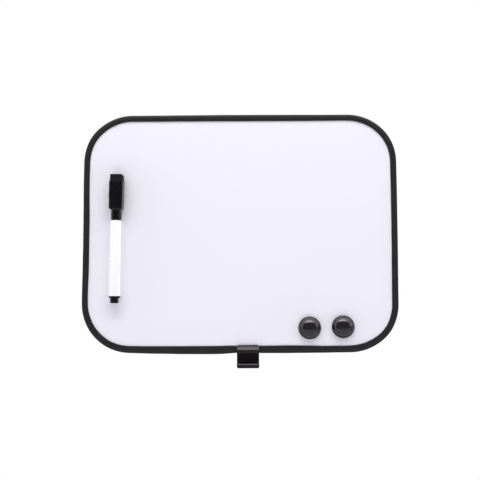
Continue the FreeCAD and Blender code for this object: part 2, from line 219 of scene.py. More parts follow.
# Studio, in metres: a floor and a backdrop, and the cards that only gloss sees
backdrop_colour = (0.9, 0.9, 0.9)
backdrop_roughness = 0.9
world_colour = (0.2, 0.2, 0.205)
stage_half_width = 4.0
stage_front_y = -4.0
stage_back_y = 1.6
stage_floor_z = -0.8
stage_top_z = 3.0
card_low_z = -0.79
floor_card_near_y = -0.03
front_card_y = -2.03
front_card_half_width = 4.4
front_card_top_z = 2.4
side_card_x = 1.6
side_card_front_y = -0.75
side_card_back_y = 0.55
side_card_top_z = 0.02
floor_card_brightness = 0.66
front_card_brightness = 0.2
left_card_brightness = 0.8
right_card_brightness = 0.45
model_middle = (0, 0, -0.02)

# Each lamp's name, its place, the point it looks at, its width and height, the radiance of its face,
# and whether gloss mirrors it
lamps = (
    ("key", (0, -0.6, 1.045), model_middle, 1.2, 0.36, 3.95, True),
    ("key_wash", (0, -0.5, 1.02), model_middle, 1.4, 0.58, 1.95, False),
    ("ceiling", (0, -0.5, 1.5), (0, -0.5, 0), 3.2, 1.8, 0.85, True),
    ("left_glow", (-1.6, -0.1, 0.78), (0, -0.1, 0.78), 1.3, 1.5, 0.25, True),
    ("right_glow", (1.6, -0.1, 0.78), (0, -0.1, 0.78), 1.3, 1.5, 0.55, True),
    ("left_wall", (-1.6, -0.1, 0.45), (0, -0.1, 0.45), 1.3, 2.1, 2.1, False),
    ("right_wall", (1.6, -0.1, 0.45), (0, -0.1, 0.45), 1.3, 2.1, 1.85, False),
    ("from_below", (0, -1.03, -0.78), (0, -1.03, 0), 3.2, 1.98, 0.42, False),
    ("front", (0, -2.05, 0.2), (0, 0, 0.2), 8.8, 4.4, 0.12, False),
    ("behind", (0, 1.5, 0.3), model_middle, 2.4, 1.6, 0.9, False),
)


def arc_points(centre, radius, first, last):
    """Points of an arc in a flat outline, with both ends. Angles are in degrees."""
    start = math.radians(first)
    sweep = math.radians(last) - start
    count = max(2, math.ceil(abs(sweep) / arc_step))
    points = []
    for k in range(count + 1):
        turn = start + sweep * k / count
        points.append((centre[0] + radius * math.cos(turn), centre[1] + radius * math.sin(turn)))
    return points


def rounded(corners, closed=True):
    """An outline through corners (a, b, radius), each replaced by an arc of that radius where it has one."""
    points = []
    count = len(corners)
    for k, (a, b, radius) in enumerate(corners):
        here = Vector((a, b))
        if radius <= 0 or (not closed and k in (0, count - 1)):
            points.append((a, b))
            continue
        to_last = (Vector(corners[k - 1][:2]) - here).normalized()
        to_next = (Vector(corners[(k + 1) % count][:2]) - here).normalized()
        half = to_last.angle(to_next) / 2
        centre = here + (to_last + to_next).normalized() * (radius / math.sin(half))
        spoke = here + to_last * (radius / math.tan(half)) - centre
        side = 1 if to_last.cross(to_next) < 0 else -1
        sweep = side * (math.pi - 2 * half)
        steps = max(2, math.ceil(abs(sweep) / arc_step))
        for step in range(steps + 1):
            turned_spoke = Matrix.Rotation(sweep * step / steps, 2) @ spoke
            points.append((centre.x + turned_spoke.x, centre.y + turned_spoke.y))
    return points


def plain(points):
    """Outline points as corners without a radius."""
    return [(a, b, 0) for a, b in points]


def inset(points, depth):
    """A closed outline moved into its own inside by a depth. It runs anticlockwise."""
    moved = []
    count = len(points)
    for k, (a, b) in enumerate(points):
        last = Vector(points[k - 1])
        after = Vector(points[(k + 1) % count])
        here = Vector((a, b))
        normals = Vector((0, 0))
        for run in (here - last, after - here):
            if run.length > 0:
                normals += Vector((-run.y, run.x)).normalized()
        if normals.length > 0:
            normals.normalize()
        moved.append((a + normals.x * depth, b + normals.y * depth))
    return moved


def signed_area(points):
    """The area inside a closed outline, positive where it runs anticlockwise."""
    total = 0
    for k, (a, b) in enumerate(points):
        last_a, last_b = points[k - 1]
        total += last_a * b - a * last_b
    return total / 2


def ring_mesh(name, rings):
    """A smooth mesh through rings of points, with flat ends. Its UV layer runs along it and round it."""
    mesh = bpy.data.meshes.new(name)
    bm = bmesh.new()
    sweep = bm.loops.layers.uv.new("sweep")
    rows = [[bm.verts.new(point) for point in ring] for ring in rings]
    around = len(rings[0])
    along = 0
    for low, high in zip(rows, rows[1:]):
        step = (high[0].co - low[0].co).length
        reach = 0
        for j in range(around):
            i = (j + 1) % around
            width = (low[i].co - low[j].co).length
            face = bm.faces.new((low[j], low[i], high[i], high[j]))
            face.smooth = True
            marks = (
                (along, reach),
                (along, reach + width),
                (along + step, reach + width),
                (along + step, reach),
            )
            for loop, mark in zip(face.loops, marks):
                loop[sweep].uv = mark
            reach += width
        along += step
    bm.faces.new(list(reversed(rows[0])))
    bm.faces.new(rows[-1])
    bmesh.ops.recalc_face_normals(bm, faces=bm.faces)
    bm.to_mesh(mesh)
    bm.free()
    mesh.set_sharp_from_angle(angle=sharp_angle)
    piece = bpy.data.objects.new(name, mesh)
    bpy.context.scene.collection.objects.link(piece)
    return piece


def turned(name, outline):
    """A solid turned about the Z axis, from outline points in radius and height."""
    rings = []
    for radius, height in outline:
        ring = []
        reach = max(radius, axis_radius)
        for k in range(turn_steps):
            turn = 2 * math.pi * k / turn_steps
            ring.append(Vector((reach * math.cos(turn), reach * math.sin(turn), height)))
        rings.append(ring)
    return ring_mesh(name, rings)


def rectangle_ring(width, depth, radius, height):
    """A level ring in the shape of a rectangle with round corners, always with the same count of points."""
    corners = []
    in_x = width / 2 - radius
    in_y = depth / 2 - radius
    for x, y, first in ((in_x, in_y, 0), (-in_x, in_y, 90), (-in_x, -in_y, 180), (in_x, -in_y, 270)):
        for k in range(ring_corner_steps + 1):
            turn = math.radians(first + 90 * k / ring_corner_steps)
            corners.append((x + radius * math.cos(turn), y + radius * math.sin(turn), height))
    ring = []
    for k, corner in enumerate(corners):
        ring.append(Vector(corner))
        if k % (ring_corner_steps + 1) == ring_corner_steps:
            after = Vector(corners[(k + 1) % len(corners)])
            for step in range(1, ring_side_steps):
                ring.append(Vector(corner).lerp(after, step / ring_side_steps))
    return ring


def circle_ring(like, radius, height):
    """A level round ring whose points lie in the same directions as those of another ring."""
    return [Vector((point.x, point.y, 0)).normalized() * radius + Vector((0, 0, height)) for point in like]


def on_marker(piece):
    """Moves a piece from the marker's own axis to the marker's place on the board."""
    piece.matrix_world = Matrix.Translation(marker_place) @ Matrix.Rotation(marker_lean, 4, "Y")
    return piece


def finish_piece(piece, body, material, replaced):
    """Gives a piece its material, slot and body, and lets it stand for a CAD node."""
    piece.data.materials.append(material)
    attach(piece, body)
    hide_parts(replaced)
    return piece


# Materials

def new_material(name, colour, roughness):
    """A material with a plain shader, and the node that gives places on the piece in metres."""
    material = bpy.data.materials.new(name)
    material.use_nodes = True
    material.diffuse_color = (*colour, 1)
    tree = material.node_tree
    shader = tree.nodes["Principled BSDF"]
    shader.inputs["Base Color"].default_value = (*colour, 1)
    shader.inputs["Roughness"].default_value = roughness
    places = tree.nodes.new("ShaderNodeTexCoord")
    return material, tree, shader, places


def stretched(tree, source, scale):
    """Places scaled along each axis, for a grain that runs one way."""
    mapping = tree.nodes.new("ShaderNodeMapping")
    mapping.inputs["Scale"].default_value = scale
    tree.links.new(source, mapping.inputs["Vector"])
    return mapping.outputs["Vector"]


def noise(tree, source, scale, detail, roughness=0.5):
    """Cloudy noise between 0 and 1, with its grains 1 / scale metres apart."""
    node = tree.nodes.new("ShaderNodeTexNoise")
    node.inputs["Scale"].default_value = scale
    node.inputs["Detail"].default_value = detail
    node.inputs["Roughness"].default_value = roughness
    tree.links.new(source, node.inputs["Vector"])
    return node.outputs["Fac"]


def varied_colour(tree, shader, source, low, high, first=0.0, last=1.0):
    """Lets the base colour run from low to high as the source runs from first to last."""
    node = tree.nodes.new("ShaderNodeValToRGB")
    for element, position, colour in zip(node.color_ramp.elements, (first, last), (low, high)):
        element.position = position
        element.color = (*colour, 1)
    tree.links.new(source, node.inputs["Fac"])
    tree.links.new(node.outputs["Color"], shader.inputs["Base Color"])


def varied_roughness(tree, shader, source, low, high):
    """Lets the roughness run from low to high as a noise does from its low to its high part."""
    node = tree.nodes.new("ShaderNodeMapRange")
    node.inputs["From Min"].default_value = noise_low
    node.inputs["From Max"].default_value = noise_high
    node.inputs["To Min"].default_value = low
    node.inputs["To Max"].default_value = high
    tree.links.new(source, node.inputs["Value"])
    tree.links.new(node.outputs["Result"], shader.inputs["Roughness"])


def bump(tree, shader, source, depth, strength=1.0, under=None):
    """Raises and lowers the surface by a depth in metres, on top of another bump where there is one."""
    node = tree.nodes.new("ShaderNodeBump")
    node.inputs["Strength"].default_value = strength
    node.inputs["Distance"].default_value = depth
    tree.links.new(source, node.inputs["Height"])
    if under is not None:
        tree.links.new(under.outputs["Normal"], node.inputs["Normal"])
    tree.links.new(node.outputs["Normal"], shader.inputs["Normal"])
    return node


def enamel():
    """Baked white enamel with a trace of orange peel, a shade warmer here and there."""
    material, tree, shader, places = new_material("white_enamel", (0.875, 0.863, 0.953), roughness=0.33)
    here = places.outputs["Object"]
    cloud = noise(tree, stretched(tree, here, (1, 1, 1.6)), scale=6, detail=0)
    varied_colour(tree, shader, cloud, (0.878, 0.864, 0.942), (0.873, 0.861, 0.96), first=0.2, last=0.8)
    varied_roughness(tree, shader, noise(tree, here, scale=40, detail=4), low=0.3, high=0.36)
    bump(tree, shader, noise(tree, here, scale=700, detail=2), depth=0.004 * mm)
    shader.inputs["Coat Weight"].default_value = 0.15
    shader.inputs["Coat Roughness"].default_value = 0.2
    return material


def core_board():
    """Raw board, with fibres along it."""
    material, tree, shader, places = new_material("core_board", (0.72, 0.6, 0.44), roughness=0.9)
    along = stretched(tree, places.outputs["Object"], (1, 6, 6))
    fibres = noise(tree, along, scale=300, detail=6, roughness=0.7)
    varied_colour(tree, shader, fibres, (0.6, 0.49, 0.35), (0.78, 0.66, 0.5))
    bump(tree, shader, fibres, depth=0.05 * mm)
    return material


def back_liner():
    """Grey lining paper with a soft mottle and fine fibres."""
    material, tree, shader, places = new_material("back_liner", (0.5, 0.51, 0.53), roughness=0.8)
    here = places.outputs["Object"]
    mottle = noise(tree, here, scale=60, detail=6, roughness=0.65)
    varied_colour(tree, shader, mottle, (0.44, 0.45, 0.47), (0.56, 0.57, 0.59), first=0.3, last=0.7)
    fibres = noise(tree, stretched(tree, here, (1, 1, 4)), scale=900, detail=4, roughness=0.7)
    varied_roughness(tree, shader, fibres, low=0.72, high=0.88)
    bump(tree, shader, fibres, depth=0.03 * mm)
    return material


def black_plastic(name, colour, roughness, grain_scale, grain_depth, specular=0.5):
    """Black moulded plastic: a fine grain, uneven gloss and faint pale rubs."""
    material, tree, shader, places = new_material(name, colour, roughness)
    here = places.outputs["Object"]
    rub = noise(tree, here, scale=120, detail=5, roughness=0.7)
    pale = tuple(part * rub_gain + rub_lift for part in colour)
    varied_colour(tree, shader, rub, colour, pale, first=0.45, last=0.8)
    gloss = noise(tree, here, scale=260, detail=4)
    varied_roughness(tree, shader, gloss, low=roughness * smoother, high=roughness * rougher)
    bump(tree, shader, noise(tree, here, grain_scale, detail=3, roughness=0.6), grain_depth)
    shader.inputs["Specular IOR Level"].default_value = specular
    shader.inputs["Specular Tint"].default_value = (0.98, 0.92, 1, 1)
    return material


def trim_plastic():
    """Extruded black plastic, with drawing lines along its length."""
    material, tree, shader, places = new_material("trim_plastic", (0.008, 0.0078, 0.009), roughness=0.42)
    here = places.outputs["Object"]
    along = stretched(tree, places.outputs["UV"], (40, 3000, 1))
    lines = noise(tree, along, scale=1, detail=4, roughness=0.6)
    scuffs = noise(tree, here, scale=90, detail=6, roughness=0.7)
    varied_colour(
        tree, shader, scuffs, (0.0122, 0.0119, 0.0133), (0.0176, 0.0172, 0.0188), first=0.4, last=0.75
    )
    shader.inputs["Specular IOR Level"].default_value = 0.36
    shader.inputs["Specular Tint"].default_value = (0.98, 0.95, 1, 1)
    varied_roughness(tree, shader, lines, low=0.36, high=0.5)
    grain = noise(tree, here, scale=2600, detail=3, roughness=0.6)
    grained = bump(tree, shader, grain, depth=0.012 * mm)
    bump(tree, shader, lines, depth=0.01 * mm, strength=0.6, under=grained)
    return material


def barrel_plastic():
    """Glossy white tube, with faint flow lines along it."""
    material, tree, shader, places = new_material("barrel_plastic", (0.975, 0.975, 0.975), roughness=0.22)
    here = places.outputs["Object"]
    flow = noise(tree, stretched(tree, here, (1, 1, 0.05)), scale=900, detail=3)
    varied_colour(
        tree, shader, flow, (0.968, 0.968, 0.968), (0.982, 0.982, 0.982), first=0.35, last=0.65
    )
    varied_roughness(tree, shader, noise(tree, here, scale=150, detail=4), low=0.18, high=0.28)
    bump(tree, shader, flow, depth=0.004 * mm)
    return material


def felt():
    """Pressed black felt: tangled fibres, dusty with ink where it wipes."""
    material, tree, shader, places = new_material("felt", (0.006, 0.0057, 0.0085), roughness=0.95)
    here = places.outputs["Object"]
    tangle = noise(tree, here, scale=1500, detail=6, roughness=0.75)
    strands = noise(tree, stretched(tree, here, (1, 3, 9)), scale=700, detail=5, roughness=0.8)
    varied_colour(
        tree, shader, strands, (0.0035, 0.0033, 0.0055), (0.012, 0.0115, 0.017), first=0.35, last=0.75
    )
    tangled = bump(tree, shader, tangle, depth=0.12 * mm)
    bump(tree, shader, strands, depth=0.15 * mm, strength=0.7, under=tangled)
    shader.inputs["Sheen Weight"].default_value = 0.06
    shader.inputs["Sheen Roughness"].default_value = 0.6
    shader.inputs["Specular IOR Level"].default_value = 0.12
    return material


def pad_foam():
    """White closed-cell foam, with small cells open on its cut sides, and painted shade darkening each cell's
    pit.
    """
    material, tree, shader, places = new_material("pad_foam", (0.86, 0.86, 0.84), roughness=0.85)
    cells = tree.nodes.new("ShaderNodeTexVoronoi")
    cells.inputs["Scale"].default_value = 2600
    tree.links.new(places.outputs["Object"], cells.inputs["Vector"])
    cell_depth_and_pit_shade = cells.outputs["Distance"]
    # Painted shade: the colour darkens towards each cell's pit, where the bump sinks.
    varied_colour(tree, shader, cell_depth_and_pit_shade, (0.7, 0.7, 0.68), (0.88, 0.88, 0.86), last=0.35)
    bump(tree, shader, cell_depth_and_pit_shade, depth=0.15 * mm)
    return material


def ferrite():
    """Sintered magnet: dark grey, with a ground face and pinholes."""
    material, tree, shader, places = new_material("ferrite", (0.05, 0.05, 0.055), roughness=0.5)
    grain = noise(tree, places.outputs["Object"], scale=1800, detail=6, roughness=0.8)
    varied_colour(tree, shader, grain, (0.03, 0.03, 0.034), (0.085, 0.085, 0.09), first=0.3, last=0.75)
    varied_roughness(tree, shader, grain, low=0.38, high=0.6)
    bump(tree, shader, grain, depth=0.02 * mm)
    return material


def seal_plastic():
    """Natural polythene, cloudy and waxy."""
    material, tree, shader, places = new_material("seal_plastic", (0.8, 0.8, 0.78), roughness=0.4)
    cloud = noise(tree, places.outputs["Object"], scale=200, detail=4)
    varied_colour(tree, shader, cloud, (0.74, 0.74, 0.72), (0.83, 0.83, 0.81))
    varied_roughness(tree, shader, cloud, low=0.34, high=0.5)
    return material


def nib_fibre(name, dark, light):
    """Bonded fibre with its strands along the marker, soaked in ink."""
    material, tree, shader, places = new_material(name, dark, roughness=0.7)
    along = stretched(tree, places.outputs["Object"], (1, 1, 0.08))
    strands = noise(tree, along, scale=2600, detail=4, roughness=0.7)
    varied_colour(tree, shader, strands, dark, light, first=0.35, last=0.7)
    bump(tree, shader, strands, depth=0.05 * mm)
    return material


def dress(node, material):
    """Gives a CAD node that stays its material."""
    mesh = nodes[node].data
    mesh.materials.clear()
    mesh.materials.append(material)


# Pieces

def trim_section():
    """The trim's cut end as an outline in inset and height above its rear face."""
    dome_height = trim_depth - trim_dome_radius
    first = math.degrees(math.acos(-trim_dome_inset / trim_dome_radius))
    last = math.degrees(math.acos((trim_face_width - trim_dome_inset) / trim_dome_radius))
    dome = arc_points((trim_dome_inset, dome_height), trim_dome_radius, first, last)
    corners = [(0, 0, trim_rear_round)]
    corners += [(dome[0][0], dome[0][1], trim_edge_round)]
    corners += plain(dome[1:-1])
    corners += [(dome[-1][0], dome[-1][1], trim_edge_round)]
    corners += [
        (trim_face_width, trim_depth - trim_front_lip, 0),
        (trim_wall, trim_depth - trim_front_lip, 0),
        (trim_wall, trim_back_lip, 0),
        (trim_back_width, trim_back_lip, 0),
        (trim_back_width, 0, trim_edge_round),
    ]
    return rounded(corners)


def trim_stations():
    """Points along the trim's outer edge from its joint round the board, each with the way inwards."""
    half_w = board_width / 2
    half_h = board_height / 2
    in_w = half_w - corner_radius
    in_h = half_h - corner_radius
    up = Vector((0, 0, 1))
    right = Vector((1, 0, 0))
    stations = []

    def run(start, end, inward):
        count = max(1, round((end - start).length / trim_step))
        for k in range(count):
            stations.append((start.lerp(end, k / count), inward))

    def run_low(*marks):
        for start, end in zip(marks, marks[1:]):
            run(Vector((start, 0, -half_h)), Vector((end, 0, -half_h)), up)

    def corner(side_x, side_z, first):
        centre = Vector((side_x * in_w, 0, side_z * in_h))
        for k in range(trim_corner_steps):
            turn = math.radians(first + 90 * k / trim_corner_steps)
            out = Vector((math.cos(turn), 0, math.sin(turn)))
            stations.append((centre + out * corner_radius, -out))

    joint_right = clip_offset + trim_joint_gap / 2
    joint_left = clip_offset - trim_joint_gap / 2
    held = trim_held_length
    free = trim_held_length + trim_settle_length
    run_low(joint_right, joint_right + held, joint_right + free, in_w)
    corner(1, -1, 270)
    run(Vector((half_w, 0, -in_h)), Vector((half_w, 0, in_h)), -right)
    corner(1, 1, 0)
    run(Vector((in_w, 0, half_h)), Vector((-in_w, 0, half_h)), -up)
    corner(-1, 1, 90)
    run(Vector((-half_w, 0, in_h)), Vector((-half_w, 0, -in_h)), right)
    corner(-1, -1, 180)
    run_low(-in_w, joint_left - free, joint_left - held, joint_left)
    stations.append((Vector((joint_left, 0, -half_h)), up))
    return stations


def wander_at(travelled):
    """How far outwards the trim's outer and inner edges stand, at a distance round from the joint."""
    for (first, *low), (last, *high) in zip(trim_wander, trim_wander[1:]):
        if travelled <= last * mm:
            share = (travelled / mm - first) / (last - first)
            ease = (1 - math.cos(math.pi * share)) / 2
            return [(start + (end - start) * ease) * mm for start, end in zip(low, high)]
    return [0, 0]


def edge_trim():
    """The trim as one channel. Its face widens, narrows and sags a little, except under the clip."""
    section = trim_section()
    rings = []
    travelled = 0
    last = None
    for outer, inward in trim_stations():
        if last is not None:
            travelled += (outer - last).length
        last = outer
        outer_shift, inner_shift = wander_at(travelled)
        ring = []
        for u, v in section:
            share = u / trim_face_width
            shift = outer_shift + (inner_shift - outer_shift) * share
            ring.append(outer + inward * (u - shift) + Vector((0, trim_rear_y - v, 0)))
        rings.append(ring)
    return ring_mesh("edge_trim_channel", rings)


def clip_section():
    """The clip's outline in Y and Z, with round edges."""
    centre = (cradle_y, cradle_z)
    outer = cradle_radius + clip_wall
    rear_out = clip_rear_y + clip_wall
    up = Vector((math.sin(jaw_lean), math.cos(jaw_lean)))
    back = Vector((up.y, -up.x))
    jaw_top = Vector((jaw_front_y, jaw_bevel_z)) + up * jaw_length
    jaw_top_in = jaw_top + back * clip_wall
    jaw_tip = (jaw_top + jaw_top_in) / 2
    floor_high = cradle_low + clip_wall
    jaw_foot_y = jaw_top_in.x - (jaw_top_in.y - floor_high) * math.tan(jaw_lean)
    round_start = 180 - math.degrees(jaw_lean)
    corners = plain(arc_points(centre, outer, 360, 270))
    corners += [(jaw_front_y, cradle_low, jaw_corner_round), (jaw_front_y, jaw_bevel_z, jaw_bevel_round)]
    corners += plain(arc_points(jaw_tip, clip_wall / 2, round_start, round_start - 180))
    corners += [(jaw_foot_y, floor_high, 0)]
    corners += plain(arc_points(centre, cradle_radius, 270, 360))
    corners += [
        (clip_rear_y, clip_roof_z, clip_inner_round),
        (clip_foot_y, clip_roof_z, clip_bend_radius),
        (clip_ridge_y, clip_ridge_z, clip_ridge_round),
        (clip_tip_y, clip_hook_high, clip_tip_round),
        (clip_hook_in_y, clip_hook_high, clip_tip_round),
        (clip_hook_in_y, clip_hook_low, 0),
        (clip_tip_y + clip_tip_wall, clip_hook_low, 0),
        (clip_ridge_y + clip_wall, clip_ridge_z, 0),
        (clip_foot_y + clip_wall, clip_floor_z, clip_bend_inner),
        (clip_rear_y, clip_floor_z, clip_inner_round),
    ]
    tip = ((clip_rear_y + rear_out) / 2, clip_leg_top)
    corners += plain(arc_points(tip, clip_wall / 2, 180, 0))
    points = rounded(corners)
    if signed_area(points) < 0:
        points.reverse()
    return points


def marker_clip():
    """The clip's section drawn out along X, with rounded ends and round corners seen from the front."""
    section = clip_section()
    heights = [z for y, z in section]
    top = max(heights)
    bottom = min(heights)

    def half_length(z):
        near = min(z - bottom, top - z, clip_corner_round)
        fall = clip_corner_round - max(near, 0)
        reach = math.sqrt(max(clip_corner_round ** 2 - fall ** 2, 0))
        return clip_length / 2 - clip_corner_round + reach

    levels = []
    for k in range(clip_end_steps + 1):
        turn = math.pi / 2 * k / clip_end_steps
        levels.append((clip_end_round * (1 - math.sin(turn)), clip_end_round * (1 - math.cos(turn))))
    rings = []
    for side, order in ((-1, levels), (1, list(reversed(levels)))):
        for depth, back in order:
            ring = []
            for (y, z), (full_y, full_z) in zip(inset(section, depth), section):
                ring.append(Vector((clip_offset + side * (half_length(full_z) - back), y, z)))
            rings.append(ring)
    return ring_mesh("marker_clip_moulding", rings)


def magnet_button(name, node):
    """A domed button with a low rim, over the disc in its pocket. It stands where its CAD node stands."""
    low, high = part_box(node)
    dome_radius = magnet_radius - magnet_step
    rise = magnet_height - magnet_rim_height
    sphere = (dome_radius ** 2 + rise ** 2) / (2 * rise)
    edge = math.degrees(math.asin(dome_radius / sphere))
    dome = []
    for k in range(magnet_dome_steps + 1):
        turn = math.radians(90 - edge + edge * k / magnet_dome_steps)
        dome.append((sphere * math.cos(turn), magnet_height - sphere + sphere * math.sin(turn)))
    corners = [
        (0, magnet_pocket_depth, 0),
        (magnet_pocket_radius, magnet_pocket_depth, 0),
        (magnet_pocket_radius, 0, 0),
        (magnet_radius, 0, magnet_foot_round),
        (magnet_radius, magnet_rim_height, magnet_rim_round),
        (dome_radius, magnet_rim_height, 0),
    ]
    corners += plain(dome[1:])
    piece = turned(name, rounded(corners, closed=False))
    centre = (low + high) / 2
    place = Matrix.Translation((centre.x, magnet_foot_y, centre.z))
    piece.matrix_world = place @ Matrix.Rotation(math.pi / 2, 4, "X")
    return piece


def marker_barrel():
    """The white tube, a little wider at its tail."""
    outline = rounded(
        [
            (barrel_bore_radius, barrel_low, 0),
            (barrel_tail_radius, barrel_low, barrel_round),
            (barrel_front_radius, barrel_high, barrel_round),
            (barrel_bore_radius, barrel_high, 0),
        ],
        closed=False,
    )
    return on_marker(turned("marker_tube", outline))


def marker_tail_plug():
    """The black plug in the tube's tail, with its flange and stub."""
    outline = rounded(
        [
            (0, 0, 0),
            (stub_radius, 0, stub_round),
            (stub_radius, stub_length, 0),
            (flange_radius, stub_length, flange_round),
            (flange_radius, barrel_low, 0),
            (plug_radius, barrel_low, 0),
            (plug_radius, barrel_low + plug_length, 0),
            (0, barrel_low + plug_length, 0),
        ],
        closed=False,
    )
    return on_marker(turned("marker_end_plug", outline))


def block_ring(height, shrink):
    """A level ring round the cap's block, whose sides flare towards its top."""
    shoulder = block_base + block_chamfer
    rise = max(0, (height - shoulder) / (block_top - shoulder))
    width = block_width + 2 * block_flare * rise
    return rectangle_ring(width - 2 * shrink, block_depth - 2 * shrink, block_round, height)


def cap_shell():
    """The cap as one skin: from the eraser's pocket over the block and the skirt and up its socket."""
    like = block_ring(block_top, 0)
    pocket_width = eraser_width + 2 * eraser_gap
    pocket_depth = eraser_depth + 2 * eraser_gap
    floor = block_top - eraser_seat
    half = block_edge_round / 2
    third = block_edge_round / 3
    rings = [
        circle_ring(like, axis_radius, floor),
        rectangle_ring(pocket_width, pocket_depth, eraser_round, floor),
        rectangle_ring(pocket_width, pocket_depth, eraser_round, block_top - half),
        rectangle_ring(pocket_width + half, pocket_depth + half, eraser_round, block_top),
    ]
    for k in range(block_edge_steps + 1):
        turn = math.pi / 2 * k / block_edge_steps
        drop = block_edge_round * (1 - math.cos(turn))
        rings.append(block_ring(block_top - drop, block_edge_round * (1 - math.sin(turn))))
    shoulder = block_base + block_chamfer
    for share in block_side_shares:
        rings.append(block_ring(shoulder + (block_top - shoulder) * (1 - share), 0))
    for height, shrink in (
        (shoulder + half, 0),
        (shoulder - half, half),
        (block_base + third, block_chamfer - third),
        (block_base, block_chamfer + third),
    ):
        rings.append(block_ring(height, shrink))
    for radius, height in (
        (skirt_radius + block_edge_round, block_base),
        (skirt_radius, block_base - block_edge_round),
        (skirt_radius, cap_mouth + skirt_round),
        (skirt_radius - skirt_round, cap_mouth),
        (skirt_bore_radius, cap_mouth),
        (skirt_bore_radius, seal_mouth),
        (seal_pocket_radius, seal_mouth),
        (seal_pocket_radius, seal_top),
        (axis_radius, seal_top),
    ):
        rings.append(circle_ring(like, radius, height))
    return on_marker(ring_mesh("cap_moulding", rings))


def eraser_pad():
    """The felt block, worn round at its top edges, with a hairy surface."""
    low = block_top - eraser_seat
    high = block_top + eraser_rise
    side_rise = high - eraser_top_round - low
    rings = []
    for k in range(eraser_side_steps + 1):
        height = low + side_rise * k / eraser_side_steps
        rings.append(rectangle_ring(eraser_width, eraser_depth, eraser_round, height))
    for k in range(1, eraser_top_steps + 1):
        turn = math.pi / 2 * k / eraser_top_steps
        shrink = eraser_top_round * (1 - math.cos(turn))
        height = high - eraser_top_round * (1 - math.sin(turn))
        width = eraser_width - 2 * shrink
        depth = eraser_depth - 2 * shrink
        rings.append(rectangle_ring(width, depth, eraser_round, height))
    for share in eraser_top_shares:
        width = (eraser_width - 2 * eraser_top_round) * share
        depth = (eraser_depth - 2 * eraser_top_round) * share
        rings.append(rectangle_ring(width, depth, eraser_round * share, high))
    piece = ring_mesh("cap_felt", rings)
    randomness = random.Random(eraser_seed)
    for vertex in piece.data.vertices:
        if vertex.co.z > block_top:
            inward = Vector((-vertex.co.x, -vertex.co.y, 0)).normalized()
            vertex.co += inward * eraser_fuzz * randomness.random()
            vertex.co.z -= eraser_fuzz * randomness.random()
    return on_marker(piece)


def mounting_pad(name, node):
    """A foam pad whose cut sides pull in at mid height."""
    low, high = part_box(node)
    centre = (low + high) / 2
    width = high.x - low.x
    thickness = high.y - low.y
    rings = []
    for k in range(pad_side_steps + 1):
        share = k / pad_side_steps
        pinch = pad_pinch * math.sin(math.pi * share)
        ring = rectangle_ring(width - 2 * pinch, width - 2 * pinch, pad_corner_round, thickness * share)
        rings.append([Vector((centre.x + point.x, high.y - point.z, centre.z + point.y)) for point in ring])
    return ring_mesh(name, rings)


# Assembly

def build_board():
    dress("face_sheet", enamel())
    dress("panel_core", core_board())
    dress("back_sheet", back_liner())
    finish_piece(edge_trim(), "board", trim_plastic(), "edge_trim")
    foam = pad_foam()
    for corner in ("lower_left", "lower_right", "upper_left", "upper_right"):
        node = f"mounting_pad_{corner}"
        pad = finish_piece(mounting_pad(f"foam_{corner}", node), "board", foam, node)


def build_clip():
    plastic = black_plastic(
        "clip_plastic",
        (0.0085, 0.0072, 0.0078),
        roughness=0.14,
        grain_scale=900,
        grain_depth=0.004 * mm,
        specular=0.31,
    )
    finish_piece(marker_clip(), "clip", plastic, "marker_clip")


def build_magnets():
    plastic = black_plastic(
        "magnet_plastic",
        (0.006, 0.006, 0.0066),
        roughness=0.08,
        grain_scale=500,
        grain_depth=0.003 * mm,
        specular=0.8,
    )
    disc = ferrite()
    for side in ("left", "right"):
        button = magnet_button(f"{side}_magnet_button", f"{side}_magnet_cap")
        finish_piece(button, f"{side}_magnet", plastic, f"{side}_magnet_cap")
        dress(f"{side}_magnet_disc", disc)
    dress("cap_magnet", disc)


def build_marker():
    cap_plastic = black_plastic(
        "cap_plastic",
        (0.0006, 0.0006, 0.0008),
        roughness=0.27,
        grain_scale=3000,
        grain_depth=0.01 * mm,
        specular=0.4,
    )
    plug_plastic = black_plastic(
        "plug_plastic",
        (0.0017, 0.0016, 0.0028),
        roughness=0.3,
        grain_scale=2400,
        grain_depth=0.008 * mm,
        specular=0.32,
    )
    section_plastic = black_plastic(
        "section_plastic", (0.01, 0.01, 0.011), roughness=0.35, grain_scale=2400, grain_depth=0.008 * mm
    )
    finish_piece(cap_shell(), "cap", cap_plastic, "cap_shell")
    eraser = finish_piece(eraser_pad(), "cap", felt(), "cap_eraser_pad")
    finish_piece(marker_barrel(), "marker", barrel_plastic(), "marker_barrel")
    finish_piece(marker_tail_plug(), "marker", plug_plastic, "marker_tail_plug")
    dress("cap_inner_seal", seal_plastic())
    dress("marker_nib_section", section_plastic)
    dress("marker_nib", nib_fibre("nib_fibre", (0.015, 0.015, 0.02), (0.04, 0.04, 0.05)))
    dress("marker_ink_reservoir", nib_fibre("reservoir_fibre", (0.06, 0.06, 0.08), (0.16, 0.16, 0.19)))


# Studio

def seen_directly(tree):
    """One where the camera looks, by itself or by way of gloss or glass, and zero for the other light."""
    path = tree.nodes.new("ShaderNodeLightPath")
    seen = path.outputs["Is Camera Ray"]
    for kind in ("Is Glossy Ray", "Is Transmission Ray"):
        either = tree.nodes.new("ShaderNodeMath")
        either.operation = "MAXIMUM"
        tree.links.new(seen, either.inputs[0])
        tree.links.new(path.outputs[kind], either.inputs[1])
        seen = either.outputs["Value"]
    return seen


def white_where_seen(tree, surface, white_node, output):
    """Puts plain white in place of a surface or a world wherever it is seen."""
    white = tree.nodes.new(white_node)
    white.inputs["Color"].default_value = (1, 1, 1, 1)
    white.inputs["Strength"].default_value = 1
    choice = tree.nodes.new("ShaderNodeMixShader")
    tree.links.new(seen_directly(tree), choice.inputs["Fac"])
    tree.links.new(surface, choice.inputs[1])
    tree.links.new(white.outputs[0], choice.inputs[2])
    tree.links.new(choice.outputs["Shader"], output)


